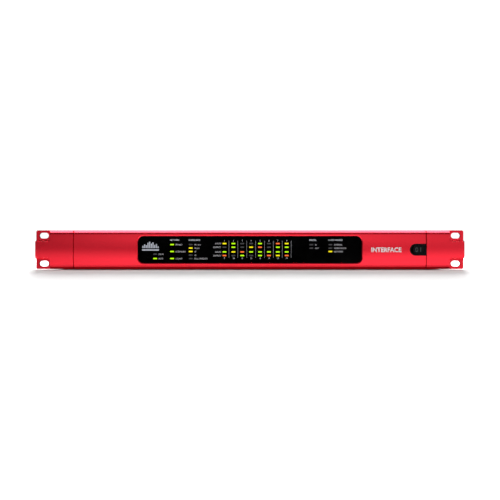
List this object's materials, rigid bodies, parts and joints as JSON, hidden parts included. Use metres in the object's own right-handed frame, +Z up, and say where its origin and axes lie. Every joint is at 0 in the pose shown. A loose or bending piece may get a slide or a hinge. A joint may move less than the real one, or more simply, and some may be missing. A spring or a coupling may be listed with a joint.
{
  "type": "rack audio interface",
  "caption": "One-unit rack audio interface: red anodised front with a black light display, rack ears and a rocker switch, black steel case with audio, network and mains sockets behind.",
  "frame": {"origin": "middle of the four-slot rack pattern, on the rear face of the ears", "axes": "+X right seen from the front, +Y back into the rack, +Z up"},
  "size_m": [0.4826, 0.2765, 0.0436],
  "materials": {
    "red_anodised": "satin red anodised aluminium",
    "window_black": "gloss black acrylic",
    "lens_green": "lit green light guide",
    "lens_amber": "lit amber light guide",
    "lens_red": "lit red light guide",
    "lens_unlit": "smoked light guide, unlit",
    "switch_black": "moulded black plastic",
    "guide_black": "moulded black plastic",
    "case_black": "fine-textured black powder coat",
    "screw_black": "black zinc screws",
    "screw_steel": "bright zinc steel",
    "inlet_black": "moulded black plastic",
    "contact_metal": "nickel-plated contacts",
    "shell_black": "black-chromed die casting",
    "jack_black": "moulded black plastic",
    "nickel": "nickel plating",
    "insulator_white": "white insulator",
    "pcb_green": "green solder mask",
    "chip_black": "moulded component bodies",
    "capacitor": "sleeved capacitor cans",
    "winding": "taped transformer windings",
    "ferrite": "sintered ferrite",
    "heatsink": "extruded aluminium",
    "sheet_clear": "insulating film",
    "ribbon_grey": "grey ribbon cable",
    "wire_brown": "insulated wire",
    "brass": "plated brass"
  },
  "bodies": {
    "chassis": {"bnc_bodies": "nickel", "bnc_insulators": "insulator_white", "bnc_nuts": "nickel", "board_capacitors": "capacitor", "board_chips": "chip_black", "board_screws": "screw_steel", "chassis_tray": "case_black", "converter_board": "pcb_green", "cover_screws": "screw_black", "display_board": "pcb_green", "display_chips": "chip_black", "display_window": "window_black", "dsub_inserts": "jack_black", "dsub_posts": "screw_steel", "dsub_shells": "nickel", "ear_left": "red_anodised", "ear_right": "red_anodised", "earth_stud": "brass", "ethernet_jacks": "jack_black", "ethernet_shells": "shell_black", "flange_screws": "screw_black", "front_fascia": "red_anodised", "inlet_a": "inlet_black", "inlet_b": "inlet_black", "inlet_blades": "contact_metal", "inlet_screws": "screw_black", "insulation_sheet": "sheet_clear", "lenses_amber": "lens_amber", "lenses_green": "lens_green", "lenses_red": "lens_red", "lenses_unlit": "lens_unlit", "light_guide_carrier": "guide_black", "main_board": "pcb_green", "mains_wiring": "wire_brown", "network_heatsink": "heatsink", "network_module": "pcb_green", "panel_screws": "screw_steel", "psu_board_a": "pcb_green", "psu_board_b": "pcb_green", "psu_capacitors": "capacitor", "psu_heatsinks": "heatsink", "rear_panel": "case_black", "rear_screws": "screw_black", "ribbon_cable": "ribbon_grey", "standoffs": "brass", "switch_housing": "switch_black", "switch_terminals": "contact_metal", "top_cover": "case_black", "transformer_bobbins": "winding", "transformer_cores": "ferrite", "xlr_female_insert": "jack_black", "xlr_female_shell": "shell_black", "xlr_male_insert": "jack_black", "xlr_male_pins": "contact_metal", "xlr_male_shell": "shell_black"},
    "rocker": {"switch_rocker": "switch_black"},
    "latch_a": {"ethernet_latch_a": "nickel"},
    "latch_b": {"ethernet_latch_b": "nickel"},
    "latch_xlr": {"xlr_latch": "nickel"}
  },
  "joints": [
    {"name": "rocker_tip", "type": "hinge", "parent": "chassis", "child": "rocker", "pos_m": [0.1891, -0.0064, 0], "axis": [0, 0, 1], "range_deg": [-16, 0]},
    {"name": "latch_a_push", "type": "slide", "parent": "chassis", "child": "latch_a", "axis": [0, -1, 0], "range_m": [0, 0.001], "stiffness_N_per_m": 1500},
    {"name": "latch_b_push", "type": "slide", "parent": "chassis", "child": "latch_b", "axis": [0, -1, 0], "range_m": [0, 0.001], "stiffness_N_per_m": 1500},
    {"name": "latch_xlr_push", "type": "slide", "parent": "chassis", "child": "latch_xlr", "axis": [0, -1, 0], "range_m": [0, 0.001], "stiffness_N_per_m": 1500}
  ]
}
